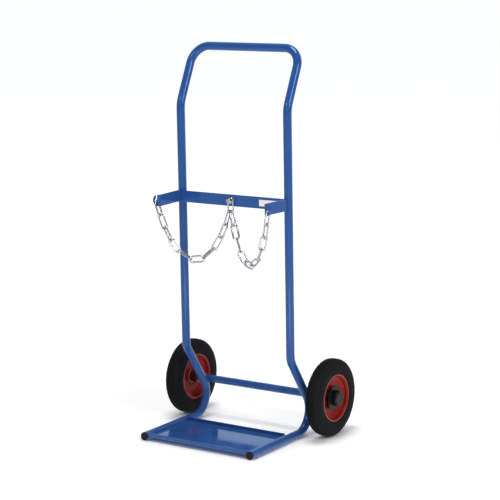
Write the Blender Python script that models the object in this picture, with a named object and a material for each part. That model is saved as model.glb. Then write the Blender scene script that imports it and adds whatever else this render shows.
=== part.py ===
"""Two-wheeled cart for gas cylinders: a bent tube frame, a folded toe plate, a cross band and two hanging chains.

Metres, +Z up, front towards -Y. The origin is on the floor, in the middle of the part's box.
"""

import math

import bmesh
import bpy
from mathutils import Matrix, Vector

# Gap between two pieces that touch
CLEAR = 0.0003

# Frame tube: handle, uprights and feet in one bent length
TUBE_RADIUS = 0.0135
TUBE_WALL = 0.002
TUBE_SPACING = 0.406
FRAME_HEIGHT = 1.249
FOOT_REACH = 0.361
FOOT_BEND = 0.070
KICK_ANGLE = math.radians(34.0)
KNEE_HEIGHT = 0.261
KNEE_BEND = 0.090
ELBOW_HEIGHT = 1.058
ELBOW_BEND = 0.095
LEAN_ANGLE = math.radians(25.0)
HANDLE_BEND = 0.060

# Plugs in the ends of the tube
PLUG_FACE = 0.0037
PLUG_STEM = 0.016
PLUG_CHAMFER = 0.001

# Toe plate between the feet
PLATE_SHEET = 0.003
PLATE_DEPTH = 0.218
PLATE_INSIDE_BEND = 0.002
PLATE_FLOOR_GAP = 0.0015

# Cross band: flat bar with an arm and an ear at each end
BAND_HEIGHT = 0.7603
BAND_WIDTH = 0.037
BAND_THICKNESS = 0.005
BAND_INSIDE_BEND = 0.003
ARM_OVERHANG = 0.004
ARM_REACH = 0.117
ARM_CLOSING = 0.0075
EAR_FLAT = 0.0005
HOLE_OFFSET = 0.007
HOLE_PLAY = 0.0025
SLOT_PLAY = 0.0013
SLOT_LEAN = math.radians(8.0)

# Axle, its tube and what holds the wheels on it
AXLE_RADIUS = 0.010
AXLE_TUBE_WALL = 0.0022
AXLE_END = 0.0011
SPACER_THICKNESS = 0.002
SPACER_RIM = 0.0067
RETAINER_THICKNESS = 0.0015
RETAINER_RIM = 0.0057
CLIP_THICKNESS = 0.002
CLIP_RIM = 0.0032

# Wheels
WHEEL_RADIUS = 0.125
TYRE_WIDTH = 0.050
WHEEL_GAP = 0.0325
SHOULDER_DROP = 0.008
SHOULDER_WIDTH = 0.010
LIP_GRIP = 0.003
SIDEWALL_RUN = 0.007
RIM_SHEET = 0.0025
RIM_DISC = 0.052
RIM_DISC_BEND = 0.008
RIM_WELL = 0.010
RIM_SEAT = 0.0695
RIM_SEAT_BEND = 0.006
RIM_LIP = 0.0745
RIM_REACH = 0.022
RIM_FLARE = 0.004
HUB_RADIUS = 0.020
HUB_WALL = 0.003
HUB_INSIDE = 0.029
HUB_OUTSIDE = 0.020
BUSH_LENGTH = 0.016
BUSH_FLANGE = 0.002
BUSH_LEDGE = 0.001

# Cover on the outer end of the hub
COVER_WALL = 0.0025
COVER_DOME_WALL = 0.0045
COVER_FLANGE = 0.040
COVER_FLANGE_STAND = 0.0117
COVER_DOME_ROUND = 0.006
COVER_END_GAP = 0.0055

# Bolt, nut and washers that hold the middle of the chains
BOLT_RADIUS = 0.005
BOLT_FLATS = 0.017
BOLT_HEAD = 0.0064
BOLT_END = 0.003
BOLT_CHAMFER = 0.0008
NUT_LENGTH = 0.008
WASHER_RADIUS = 0.010
WASHER_THICKNESS = 0.002

# Chain links
LINK_WIRE = 0.006
LINK_LENGTH = 0.0441
LINK_PLAY = 0.00045
STRAND_LINKS = 10
CENTRE_TWIST_LINKS = 4
# Turn of the links that follow the ear, as shares of the first link's turn
LEFT_EAR_TWIST = (1.0, 0.75, 0.5, 0.25)
RIGHT_EAR_TWIST = (1.0, 0.0, -1.1, -1.2, -0.6)

# Fineness of the facets
BEND_STEP = math.radians(22.5)
TUBE_SIDES = 16
WHEEL_SIDES = 24
HUB_SIDES = 20
TURNED_SIDES = 16
LINK_SIDES = 6
LINK_ARC_STEPS = 6
EAR_STEPS = (0.2, 0.4, 0.6, 0.8, 0.93)
SHARP_ANGLE = math.radians(35.0)

# Linear colour, roughness and metallic value of each finish
BLUE_PAINT = ((0.034, 0.107, 0.376), 0.28, 0.0)
RED_PAINT = ((0.40, 0.017, 0.017), 0.38, 0.0)
RUBBER = ((0.012, 0.012, 0.012), 0.75, 0.0)
ZINC = ((0.60, 0.60, 0.60), 0.32, 1.0)
BLACK_PLASTIC = ((0.010, 0.010, 0.010), 0.45, 0.0)
BRONZE = ((0.35, 0.25, 0.13), 0.45, 1.0)

X_AXIS = Vector((1.0, 0.0, 0.0))
Y_AXIS = Vector((0.0, 1.0, 0.0))
Z_AXIS = Vector((0.0, 0.0, 1.0))


def clear_scene():
    for item in list(bpy.data.objects):
        bpy.data.objects.remove(item, do_unlink=True)


def circle(radius, count):
    """Points of a round profile."""
    turns = [2.0 * math.pi * index / count for index in range(count)]
    return [(radius * math.cos(turn), radius * math.sin(turn)) for turn in turns]


def rectangle(half_a, half_b):
    """Points of a flat bar's profile."""
    return [(-half_a, -half_b), (half_a, -half_b), (half_a, half_b), (-half_a, half_b)]


def bend_turns(turn, stop, step):
    """Turns at which a bend gets a ring, one of them at the stop."""
    turns = [0.0]
    for goal in sorted({stop, turn}):
        start = turns[-1]
        count = max(1, math.ceil((goal - start) / step))
        turns += [start + (goal - start) * (index + 1) / count for index in range(count)]
    return turns


def rounded_path(corners, radii, step=BEND_STEP, stops=None):
    """Points and directions along straight runs, with each corner turned to an arc of its radius.

    Stops gives the turn at which the arc of a corner needs a point, by the corner's number.
    """
    path = [(corners[0], (corners[1] - corners[0]).normalized())]
    for number, radius in enumerate(radii, 1):
        before, corner, after = corners[number - 1:number + 2]
        into = (corner - before).normalized()
        out = (after - corner).normalized()
        turn = into.angle(out)
        start = corner - into * radius * math.tan(turn / 2)
        centre = corner + (out - into).normalized() * radius / math.cos(turn / 2)
        stop = stops.get(number, turn) if stops else turn
        for part_turn in bend_turns(turn, stop, step):
            swing = Matrix.Rotation(part_turn, 3, into.cross(out))
            path.append((centre + swing @ (start - centre), swing @ into))
    path.append((corners[-1], (corners[-1] - corners[-2]).normalized()))
    return path


def sweep(path, profiles, side):
    """Rings of a profile carried along a path; side is the profile's first axis at the start."""
    rings = []
    for (point, direction), profile in zip(path, profiles):
        side = (side - direction * side.dot(direction)).normalized()
        rise = direction.cross(side)
        rings.append([point + side * a + rise * b for a, b in profile])
    return rings


def turned(outline, count):
    """Rings of an outline of (along, radius) points turned about X, with a corner at the bottom."""
    rings = []
    for along, radius in outline:
        rings.append([Vector((along, b, -a)) for a, b in circle(radius, count)])
    return rings


def hexagon(along, flats):
    """A hexagon about X with a point in the middle of each side, to meet a round ring of 12."""
    ring = []
    for index in range(12):
        turn = math.pi * index / 6
        radius = flats / 2 if index % 2 else flats / 2 / math.cos(math.pi / 6)
        ring.append(Vector((along, radius * math.sin(turn), -radius * math.cos(turn))))
    return ring


def offset(path, distance):
    """The (x, y) points of a flat path moved sideways, to its left where the distance is positive."""
    return [(p.x - d.y * distance, p.y + d.x * distance) for p, d in path]


def loft(name, rings, closed, sharp=SHARP_ANGLE):
    """A skin over a row of rings. A closed row joins its last ring to its first, an open one gets end faces."""
    shell = bmesh.new()
    rows = [[shell.verts.new(point) for point in ring] for ring in rings]
    pairs = list(zip(rows, rows[1:]))
    if closed:
        pairs.append((rows[-1], rows[0]))
    else:
        shell.faces.new(rows[0])
        shell.faces.new(rows[-1])
    for near, far in pairs:
        for index, corner in enumerate(near):
            following = (index + 1) % len(near)
            shell.faces.new((corner, near[following], far[following], far[index]))
    bmesh.ops.recalc_face_normals(shell, faces=shell.faces)
    if shell.calc_volume(signed=True) < 0:
        bmesh.ops.reverse_faces(shell, faces=shell.faces)
    mesh = bpy.data.meshes.new(name)
    shell.to_mesh(mesh)
    shell.free()
    mesh.shade_smooth()
    mesh.set_sharp_from_angle(angle=sharp)
    return mesh


def material(name, finish):
    """A Principled material of a finish."""
    colour, roughness, metallic = finish
    made = bpy.data.materials.new(name)
    made.use_nodes = True
    shader = made.node_tree.nodes["Principled BSDF"]
    shader.inputs["Base Color"].default_value = (*colour, 1.0)
    shader.inputs["Roughness"].default_value = roughness
    shader.inputs["Metallic"].default_value = metallic
    made.diffuse_color = (*colour, 1.0)
    return made


def place(name, mesh, finish, location=(0.0, 0.0, 0.0), rotation=(0.0, 0.0, 0.0), parent=None):
    """A named piece in its own material."""
    piece = bpy.data.objects.new(name, mesh)
    bpy.context.scene.collection.objects.link(piece)
    piece.location = location
    piece.rotation_euler = rotation
    piece.parent = parent
    if not mesh.materials:
        mesh.materials.append(None)
    piece.material_slots[0].link = "OBJECT"
    piece.material_slots[0].material = material(name, finish)
    return piece


def pivot(name, location):
    """An empty on a joint's axis."""
    empty = bpy.data.objects.new(name, None)
    bpy.context.scene.collection.objects.link(empty)
    empty.location = location
    empty.empty_display_size = 0.03
    return empty


def cut(piece, name, rings):
    """Cuts a piece with a hidden solid made from rings."""
    cutter = bpy.data.objects.new(name, loft(name, rings, closed=False))
    bpy.context.scene.collection.objects.link(cutter)
    cutter.display_type = "WIRE"
    cutter.hide_render = True
    modifier = piece.modifiers.new(name, "BOOLEAN")
    modifier.operation = "DIFFERENCE"
    modifier.solver = "EXACT"
    modifier.object = cutter


# Where the main pieces lie
tube_x = TUBE_SPACING / 2
axle_y = (FOOT_REACH - WHEEL_RADIUS) / 2
axle_z = WHEEL_RADIUS
front_y = axle_y - FOOT_REACH
tube_end_y = front_y + PLUG_FACE + CLEAR
axle_tube_radius = AXLE_RADIUS + CLEAR + AXLE_TUBE_WALL

# The foot's bend lies in front of the axle tube and touches it, on its arc or on the straight run above
bend_z = TUBE_RADIUS + FOOT_BEND
axle_rise = axle_z - bend_z
axle_stand = FOOT_BEND + TUBE_RADIUS + CLEAR + axle_tube_radius
if axle_rise <= axle_stand * math.sin(KICK_ANGLE):
    bend_y = axle_y - math.sqrt(axle_stand ** 2 - axle_rise ** 2)
else:
    bend_y = axle_y - (axle_stand - axle_rise * math.sin(KICK_ANGLE)) / math.cos(KICK_ANGLE)
heel_y = bend_y + FOOT_BEND * (1.0 + math.sin(KICK_ANGLE)) / math.cos(KICK_ANGLE)
upright_y = bend_y + (FOOT_BEND - (KNEE_HEIGHT - bend_z) * math.sin(KICK_ANGLE)) / math.cos(KICK_ANGLE)
handle_z = FRAME_HEIGHT - TUBE_RADIUS
handle_y = upright_y + (handle_z - ELBOW_HEIGHT) * math.tan(LEAN_ANGLE)

# The band lies on the front of the uprights
band_rear_y = upright_y - TUBE_RADIUS - CLEAR
band_front_y = band_rear_y - BAND_THICKNESS
band_y = band_rear_y - BAND_THICKNESS / 2
band_bend = BAND_INSIDE_BEND + BAND_THICKNESS / 2
arm_x = tube_x + ARM_OVERHANG
arm_end_x = arm_x - ARM_CLOSING
ear_y = band_rear_y - ARM_REACH + BAND_THICKNESS / 2
arm_lean = math.atan2(ARM_CLOSING, band_y - ear_y)
ear_x = arm_end_x + band_bend * math.tan((math.pi / 2 + arm_lean) / 2) + EAR_FLAT
hole_x = ear_x + HOLE_OFFSET
hole_radius = LINK_WIRE / 2 + HOLE_PLAY

# The wheels stand off the uprights, and the stack on the axle follows from the hub
wheel_x = tube_x + TUBE_RADIUS + WHEEL_GAP + TYRE_WIDTH / 2
spacer_x = wheel_x - HUB_INSIDE - BUSH_FLANGE - SPACER_THICKNESS - 2 * CLEAR
axle_tube_half = spacer_x - CLEAR
retainer_x = HUB_OUTSIDE + BUSH_FLANGE + 2 * CLEAR
clip_x = retainer_x + RETAINER_THICKNESS + CLEAR
axle_end_x = clip_x + CLIP_THICKNESS + AXLE_END


def build_frame():
    """The bent tube with its plugs, the toe plate and the cross band."""
    half = [
        Vector((-tube_x, tube_end_y, TUBE_RADIUS)),
        Vector((-tube_x, heel_y, TUBE_RADIUS)),
        Vector((-tube_x, upright_y, KNEE_HEIGHT)),
        Vector((-tube_x, upright_y, ELBOW_HEIGHT)),
        Vector((-tube_x, handle_y, handle_z)),
    ]
    corners = half + [Vector((-p.x, p.y, p.z)) for p in reversed(half)]
    bends = [FOOT_BEND, KNEE_BEND, ELBOW_BEND, HANDLE_BEND]
    foot_turn = math.pi / 2 + KICK_ANGLE
    touch_turn = min(foot_turn, math.pi / 2 + math.atan2(axle_rise, axle_y - bend_y))
    path = rounded_path(corners, bends + bends[::-1], stops={1: touch_turn, 8: foot_turn - touch_turn})
    outside = sweep(path, [circle(TUBE_RADIUS, TUBE_SIDES)] * len(path), -Z_AXIS)
    inside = sweep(path, [circle(TUBE_RADIUS - TUBE_WALL, TUBE_SIDES)] * len(path), -Z_AXIS)
    place("frame_tube", loft("frame_tube", outside + inside[::-1], closed=True), BLUE_PAINT)

    stem = TUBE_RADIUS - TUBE_WALL - CLEAR
    plug = loft("foot_plug", turned([
        (0.0, TUBE_RADIUS - PLUG_CHAMFER),
        (PLUG_CHAMFER, TUBE_RADIUS),
        (PLUG_FACE, TUBE_RADIUS),
        (PLUG_FACE, stem),
        (PLUG_FACE + PLUG_STEM - PLUG_CHAMFER, stem),
        (PLUG_FACE + PLUG_STEM, stem - PLUG_CHAMFER),
    ], TUBE_SIDES), closed=False)
    for side, name in ((-1, "left"), (1, "right")):
        seat = (side * tube_x, front_y, TUBE_RADIUS)
        place("foot_cap_" + name, plug, BLACK_PLASTIC, seat, (0.0, 0.0, math.pi / 2))

    plate_half = tube_x - TUBE_RADIUS - CLEAR
    plate_bend = PLATE_INSIDE_BEND + PLATE_SHEET / 2
    plate_front = tube_end_y + PLATE_SHEET / 2
    plate_rear = tube_end_y + PLATE_DEPTH - PLATE_SHEET / 2
    fold = rounded_path([
        Vector((0.0, plate_front, PLATE_FLOOR_GAP)),
        Vector((0.0, plate_front, TUBE_RADIUS)),
        Vector((0.0, plate_rear, TUBE_RADIUS)),
        Vector((0.0, plate_rear, 2 * TUBE_RADIUS)),
    ], [plate_bend, plate_bend])
    sheet = sweep(fold, [rectangle(plate_half, PLATE_SHEET / 2)] * len(fold), X_AXIS)
    place("toe_plate", loft("toe_plate", sheet, closed=False), BLUE_PAINT)

    bar = rounded_path([
        Vector((-ear_x, ear_y, BAND_HEIGHT)),
        Vector((-arm_end_x, ear_y, BAND_HEIGHT)),
        Vector((-arm_x, band_y, BAND_HEIGHT)),
        Vector((arm_x, band_y, BAND_HEIGHT)),
        Vector((arm_end_x, ear_y, BAND_HEIGHT)),
        Vector((ear_x, ear_y, BAND_HEIGHT)),
    ], [band_bend] * 4)
    ear_radius = BAND_WIDTH / 2
    profiles = [rectangle(ear_radius, BAND_THICKNESS / 2)] * len(bar)
    for step in EAR_STEPS:
        reach = ear_radius * math.sin(step * math.pi / 2)
        profile = rectangle(ear_radius * math.cos(step * math.pi / 2), BAND_THICKNESS / 2)
        bar.insert(0, (Vector((-ear_x - reach, ear_y, BAND_HEIGHT)), X_AXIS))
        bar.append((Vector((ear_x + reach, ear_y, BAND_HEIGHT)), X_AXIS))
        profiles = [profile] + profiles + [profile]
    band = place("cross_band", loft("cross_band", sweep(bar, profiles, Z_AXIS), closed=False), BLUE_PAINT)

    slot_half = (LINK_WIRE + SLOT_PLAY) / 2
    neck = math.asin(slot_half / hole_radius)
    keyhole = [(slot_half, BAND_WIDTH), (-slot_half, BAND_WIDTH)]
    for index in range(TURNED_SIDES + 1):
        turn = math.pi / 2 + neck + (2 * math.pi - 2 * neck) * index / TURNED_SIDES
        keyhole.append((hole_radius * math.cos(turn), hole_radius * math.sin(turn)))
    for side, name in ((-1, "left"), (1, "right")):
        lean = Matrix.Rotation(side * SLOT_LEAN, 2)
        outline = [lean @ Vector(point) for point in keyhole]
        rings = []
        for y in (ear_y - BAND_THICKNESS, ear_y + BAND_THICKNESS):
            rings.append([Vector((side * hole_x + p.x, y, BAND_HEIGHT + p.y)) for p in outline])
        cut(band, "keyhole_" + name, rings)
    hole = circle(BOLT_RADIUS + CLEAR, TURNED_SIDES)
    rings = []
    for y in (band_y - BAND_THICKNESS, band_y + BAND_THICKNESS):
        rings.append([Vector((a, y, BAND_HEIGHT + b)) for a, b in hole])
    cut(band, "bolt_hole", rings)


def ring_piece(name, bore, radius, start, end, count=TURNED_SIDES):
    """A plain ring about X."""
    return loft(name, turned([(start, bore), (start, radius), (end, radius), (end, bore)], count), closed=True)


def build_axle():
    """The cross tube behind the frame tube, the bar through it and the rings on the bar's ends."""
    middle = (0.0, axle_y, axle_z)
    bore = AXLE_RADIUS + CLEAR
    tube = ring_piece("axle_tube", bore, axle_tube_radius, -axle_tube_half, axle_tube_half)
    place("axle_tube", tube, BLUE_PAINT, middle)
    reach = wheel_x + axle_end_x
    bar = loft("axle", turned([
        (-reach, AXLE_RADIUS - AXLE_END),
        (-reach + AXLE_END, AXLE_RADIUS),
        (reach - AXLE_END, AXLE_RADIUS),
        (reach, AXLE_RADIUS - AXLE_END),
    ], TURNED_SIDES), closed=False)
    place("axle", bar, ZINC, middle)
    spacer = ring_piece("axle_spacer", bore, bore + SPACER_RIM, spacer_x, spacer_x + SPACER_THICKNESS)
    start = wheel_x + retainer_x
    retainer = ring_piece("axle_retainer", bore, bore + RETAINER_RIM, start, start + RETAINER_THICKNESS)
    start = wheel_x + clip_x
    clip = ring_piece("axle_clip", bore, bore + CLIP_RIM, start, start + CLIP_THICKNESS)
    for name, turn in (("left", math.pi), ("right", 0.0)):
        place("washer_inner_" + name, spacer, ZINC, middle, (0.0, 0.0, turn))
        place("washer_outer_" + name, retainer, ZINC, middle, (0.0, 0.0, turn))
        place("axle_clip_" + name, clip, ZINC, middle, (0.0, 0.0, turn))


def build_wheels():
    """Two wheels on pressed rims, each about the axle's line, with the outer side towards +X."""
    disc_x = (RIM_SHEET + CLEAR) / 2
    half_rim = rounded_path([
        Vector((disc_x, HUB_RADIUS + CLEAR, 0.0)),
        Vector((disc_x, RIM_DISC, 0.0)),
        Vector((RIM_WELL, RIM_SEAT, 0.0)),
        Vector((RIM_REACH - RIM_FLARE, RIM_SEAT, 0.0)),
        Vector((RIM_REACH, RIM_LIP, 0.0)),
    ], [RIM_DISC_BEND, RIM_SEAT_BEND, RIM_SHEET], 3 * BEND_STEP)
    sheet = offset(half_rim, RIM_SHEET / 2) + offset(half_rim, -RIM_SHEET / 2)[::-1]
    rim = loft("rim", turned(sheet, WHEEL_SIDES), closed=True)

    bead = [point for point in offset(half_rim, RIM_SHEET / 2 + CLEAR) if point[1] > RIM_SEAT]
    flare = (half_rim[-1][0] - half_rim[-2][0]).normalized()
    grip = (bead[-1][0] + flare.x * LIP_GRIP, bead[-1][1] + flare.y * LIP_GRIP)
    wall = TYRE_WIDTH / 2
    half_tyre = bead + [
        grip,
        (wall, grip[1] + SIDEWALL_RUN),
        (wall, (RIM_LIP + WHEEL_RADIUS) / 2),
        (wall - SHOULDER_WIDTH / 3, WHEEL_RADIUS - SHOULDER_DROP),
        (wall - SHOULDER_WIDTH, WHEEL_RADIUS),
    ]
    outline = half_tyre + [(-x, radius) for x, radius in reversed(half_tyre)]
    tyre = loft("tyre", turned(outline, WHEEL_SIDES), closed=True)

    hub_bore = HUB_RADIUS - HUB_WALL
    hub = ring_piece("hub", hub_bore, HUB_RADIUS, -HUB_INSIDE, HUB_OUTSIDE, HUB_SIDES)
    bush = loft("bush", turned([
        (CLEAR, AXLE_RADIUS + CLEAR),
        (CLEAR + BUSH_FLANGE, AXLE_RADIUS + CLEAR),
        (CLEAR + BUSH_FLANGE, HUB_RADIUS - BUSH_LEDGE),
        (CLEAR, HUB_RADIUS - BUSH_LEDGE),
        (CLEAR, hub_bore - CLEAR),
        (-BUSH_LENGTH, hub_bore - CLEAR),
        (-BUSH_LENGTH, AXLE_RADIUS + CLEAR),
    ], TURNED_SIDES), closed=True)

    skirt = HUB_RADIUS + CLEAR
    dome = skirt + COVER_DOME_WALL
    inner_top = axle_end_x + COVER_END_GAP
    outer_top = inner_top + COVER_WALL
    flange_x = disc_x + RIM_SHEET / 2 + COVER_FLANGE_STAND
    cover = loft("hub_cap", turned([
        (inner_top, skirt - COVER_DOME_ROUND),
        (inner_top - COVER_DOME_ROUND, skirt),
        (disc_x + RIM_SHEET / 2 + CLEAR, skirt),
        (disc_x + RIM_SHEET / 2 + CLEAR, dome),
        (flange_x, dome),
        (flange_x, COVER_FLANGE),
        (flange_x + COVER_WALL, COVER_FLANGE),
        (flange_x + COVER_WALL, dome),
        (outer_top - COVER_DOME_ROUND, dome),
        (outer_top - COVER_DOME_ROUND / 3, dome - COVER_DOME_ROUND / 3),
        (outer_top, dome - COVER_DOME_ROUND),
    ], HUB_SIDES), closed=False)

    for side, name in ((-1, "left"), (1, "right")):
        centre = Vector((side * wheel_x, axle_y, axle_z))
        outwards = (0.0, 0.0, 0.0 if side > 0 else math.pi)
        inwards = (0.0, 0.0, math.pi if side > 0 else 0.0)
        axis = pivot(name + "_wheel_axis", centre)
        place("tyre_" + name, tyre, RUBBER, rotation=outwards, parent=axis)
        place("rim_outer_" + name, rim, RED_PAINT, rotation=outwards, parent=axis)
        place("rim_inner_" + name, rim, RED_PAINT, rotation=inwards, parent=axis)
        place("hub_" + name, hub, RED_PAINT, rotation=outwards, parent=axis)
        place("bush_outer_" + name, bush, BRONZE, X_AXIS * side * HUB_OUTSIDE, outwards, axis)
        place("bush_inner_" + name, bush, BRONZE, X_AXIS * -side * HUB_INSIDE, inwards, axis)
        place("hub_cap_" + name, cover, BLACK_PLASTIC, rotation=outwards, parent=axis)


def link_mesh(name, inner_half, straight):
    """A welded link in its XY plane, long along X, of round wire."""
    bend = inner_half + LINK_WIRE / 2
    path = []
    for end in (1, -1):
        for index in range(LINK_ARC_STEPS + 1):
            turn = math.pi * (index / LINK_ARC_STEPS - 0.5)
            out = Vector((math.cos(turn), math.sin(turn), 0.0)) * end
            path.append((X_AXIS * end * straight / 2 + out * bend, Vector((-out.y, out.x, 0.0))))
    rings = sweep(path, [circle(LINK_WIRE / 2, LINK_SIDES)] * len(path), -Y_AXIS)
    return loft(name, rings, closed=True, sharp=math.pi / 2)


def hanging_angles(lengths, span, rise):
    """Slopes of bars that hang in a catenary between two points at this span and rise."""
    middles = [sum(lengths[:index]) + length / 2 for index, length in enumerate(lengths)]
    total = sum(lengths)

    def slopes(tightness, low):
        return [math.atan((middle - low) / tightness) for middle in middles]

    def lowest_point(tightness):
        near, far = -4 * total, 5 * total
        for _ in range(60):
            low = (near + far) / 2
            climb = sum(length * math.sin(slope) for length, slope in zip(lengths, slopes(tightness, low)))
            if climb > rise:
                near = low
            else:
                far = low
        return (near + far) / 2

    slack, taut = 0.01 * total, 20 * total
    for _ in range(60):
        tightness = (slack + taut) / 2
        angles = slopes(tightness, lowest_point(tightness))
        if sum(length * math.cos(slope) for length, slope in zip(lengths, angles)) > span:
            taut = tightness
        else:
            slack = tightness
    return angles


def turn_towards(along, across, target):
    """Turn about a link's length that brings its width nearest to a target line."""
    turn = math.atan2(target.dot(along.cross(across)), target.dot(across))
    return turn - math.copysign(math.pi, turn) if abs(turn) > math.pi / 2 else turn


def within(direction, along, across):
    """A direction laid into the plane of a link."""
    return (along * direction.dot(along) + across * direction.dot(across)).normalized()


def hang_strand(start, end, ear_twist):
    """Centre, lengthwise and widthwise direction of each link of a strand hung between two wires' places.

    Links stand edge-on and face-on to the strand's plane by turns. The first and the last are turned about
    their length until their wire runs along Y, and the links next to them are twisted loosely with them.
    """
    inner_half = LINK_WIRE + LINK_PLAY
    bend = inner_half + LINK_WIRE / 2
    straight = LINK_LENGTH - 2 * inner_half
    pitches = [LINK_LENGTH - CLEAR] * STRAND_LINKS
    target = end
    for _ in range(8):
        level = Vector((target.x - start.x, target.y - start.y, 0.0))
        heading = level.normalized()
        normal = Z_AXIS.cross(heading)
        slopes = hanging_angles(pitches, level.length, target.z - start.z)
        alongs = [heading * math.cos(slope) + Z_AXIS * math.sin(slope) for slope in slopes]
        acrosses = [along.cross(normal) if index % 2 else normal for index, along in enumerate(alongs)]
        first_turn = turn_towards(alongs[0], acrosses[0], Y_AXIS)
        last_turn = turn_towards(alongs[-1], acrosses[-1], Y_AXIS)
        links = []
        for index, along in enumerate(alongs):
            turn = first_turn * ear_twist[index] if index < len(ear_twist) else 0.0
            turn += last_turn * max(0.0, 1.0 - (STRAND_LINKS - 1 - index) / CENTRE_TWIST_LINKS)
            across = Matrix.Rotation(turn, 3, along) @ acrosses[index]
            if links:
                last_centre, last_along, last_across = links[-1]
                crown = within(along, last_along, last_across)
                root = within(last_along, along, across)
                crown_wire = last_along.cross(last_across).cross(crown)
                root_wire = along.cross(across).cross(root)
                pull = crown_wire.cross(root_wire).normalized() * (LINK_WIRE + CLEAR)
                pull = pull if pull.dot(crown) > 0 else -pull
                near_bend = last_centre + last_along * straight / 2 + crown * bend - pull + root * bend
            else:
                near_bend = start + along * bend
            links.append((near_bend + along * straight / 2, along, across))
        reached = links[-1][0] + links[-1][1] * (straight / 2 + bend)
        target = target + end - reached
    first_crossing = links[0][0] + links[0][1] * (straight / 2 + bend - LINK_WIRE + CLEAR)
    return links, first_crossing


def build_chains():
    """The bolt in the band's middle, the link that hangs on it and the strands from there to the ears."""
    rear_washer = band_rear_y + CLEAR
    nut_start = rear_washer + WASHER_THICKNESS + CLEAR
    bolt_tip = nut_start + NUT_LENGTH + BOLT_END
    link_y = band_front_y - CLEAR - LINK_WIRE / 2
    front_washer = link_y - LINK_WIRE / 2 - CLEAR - WASHER_THICKNESS
    head_back = front_washer - CLEAR
    along_y = (0.0, 0.0, math.pi / 2)
    seat = Vector((0.0, 0.0, BAND_HEIGHT))

    bolt = loft("centre_bolt", [
        hexagon(head_back - BOLT_HEAD, BOLT_FLATS - 2 * BOLT_CHAMFER),
        hexagon(head_back - BOLT_HEAD + BOLT_CHAMFER, BOLT_FLATS),
        hexagon(head_back, BOLT_FLATS),
    ] + turned([
        (head_back, BOLT_RADIUS),
        (bolt_tip - BOLT_CHAMFER, BOLT_RADIUS),
        (bolt_tip, BOLT_RADIUS - BOLT_CHAMFER),
    ], 12), closed=False)
    place("centre_bolt", bolt, ZINC, seat, along_y)
    bore = BOLT_RADIUS + CLEAR
    nut = loft("centre_nut", [
        hexagon(nut_start, BOLT_FLATS),
        hexagon(nut_start + NUT_LENGTH, BOLT_FLATS),
    ] + turned([
        (nut_start + NUT_LENGTH, bore),
        (nut_start, bore),
    ], 12), closed=True)
    place("centre_nut", nut, ZINC, seat, along_y)
    for name, start in (("front", front_washer), ("rear", rear_washer)):
        washer = ring_piece("washer_" + name, bore, WASHER_RADIUS, start, start + WASHER_THICKNESS)
        place("bolt_washer_" + name, washer, ZINC, seat, along_y)

    link_half = max(BOLT_RADIUS, LINK_WIRE) + LINK_PLAY
    straight = LINK_LENGTH - 2 * link_half
    top = BAND_HEIGHT + BOLT_RADIUS + CLEAR - link_half
    hung = Vector((0.0, link_y, top - straight / 2))
    place("centre_link", link_mesh("centre_link", link_half, straight), ZINC, hung, (math.pi / 2, math.pi / 2, 0.0))

    inner_half = LINK_WIRE + LINK_PLAY
    link = link_mesh("chain_link", inner_half, LINK_LENGTH - 2 * inner_half)
    side_by_side = (LINK_WIRE + CLEAR) / 2
    sink = math.sqrt(max(0.0, (link_half - LINK_WIRE / 2 - CLEAR) ** 2 - side_by_side ** 2))
    end = Vector((-side_by_side, link_y, top - straight - sink))
    # The first link's bend rides on the edges of the ear's hole, more on one edge the more the strand leans
    for side, name, ear_twist in ((-1, "left", LEFT_EAR_TWIST), (1, "right", RIGHT_EAR_TWIST)):
        lean = 0.0
        for _ in range(3):
            ride = BAND_THICKNESS / 2 * (math.tan(math.pi / 2 / LINK_ARC_STEPS) + lean)
            drop = hole_radius - LINK_WIRE / 2 - CLEAR - ride
            start = Vector((-hole_x, ear_y, BAND_HEIGHT - drop))
            links, swing_start = hang_strand(start, end, ear_twist)
            lean = abs(links[0][1].y / links[0][1].z)
        # All links but the first swing together on the line from its far bend to the wire in the centre link
        mirror = Vector((-side, 1.0, 1.0))
        hinge = pivot(name + "_chain_hinge", swing_start * mirror)
        swing_line = (end - swing_start) * mirror
        print(name, "chain swings at", [round(value, 6) for value in swing_start * mirror],
              "about", [round(value, 6) for value in swing_line.normalized()])
        for index, (centre, along, across) in enumerate(links):
            long_axis = along * mirror
            wide_axis = across * mirror
            frame = Matrix((long_axis, wide_axis, long_axis.cross(wide_axis))).transposed()
            spot = (centre - swing_start if index else centre) * mirror
            parent = hinge if index else None
            place(f"chain_{name}_link_{index + 1:02d}", link, ZINC, spot, frame.to_euler(), parent)


clear_scene()
build_frame()
build_axle()
build_wheels()
build_chains()
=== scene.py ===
"""Looks of a two-wheeled cart for gas cylinders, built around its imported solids.

Metres, +Z up, front towards -Y, in the frame of the solids.
"""

import math

import bmesh
import bpy
import numpy as np
from mathutils import Matrix, Vector


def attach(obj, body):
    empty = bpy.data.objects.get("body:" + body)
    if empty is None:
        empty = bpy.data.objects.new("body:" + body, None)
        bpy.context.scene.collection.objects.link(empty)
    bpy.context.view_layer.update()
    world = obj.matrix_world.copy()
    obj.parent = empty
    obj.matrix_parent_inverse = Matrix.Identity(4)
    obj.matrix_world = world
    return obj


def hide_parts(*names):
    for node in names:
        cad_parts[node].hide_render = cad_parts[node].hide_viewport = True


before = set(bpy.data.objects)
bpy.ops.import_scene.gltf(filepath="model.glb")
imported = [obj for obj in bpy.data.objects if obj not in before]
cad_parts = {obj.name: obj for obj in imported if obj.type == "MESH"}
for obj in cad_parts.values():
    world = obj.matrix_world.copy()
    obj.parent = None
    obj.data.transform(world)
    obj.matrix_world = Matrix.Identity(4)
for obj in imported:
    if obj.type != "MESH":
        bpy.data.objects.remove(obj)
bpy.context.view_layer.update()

X_AXIS = Vector((1.0, 0.0, 0.0))
Y_AXIS = Vector((0.0, 1.0, 0.0))
Z_AXIS = Vector((0.0, 0.0, 1.0))
SIDES = ((-1, "left"), (1, "right"))
GAP = 0.0003

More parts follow.
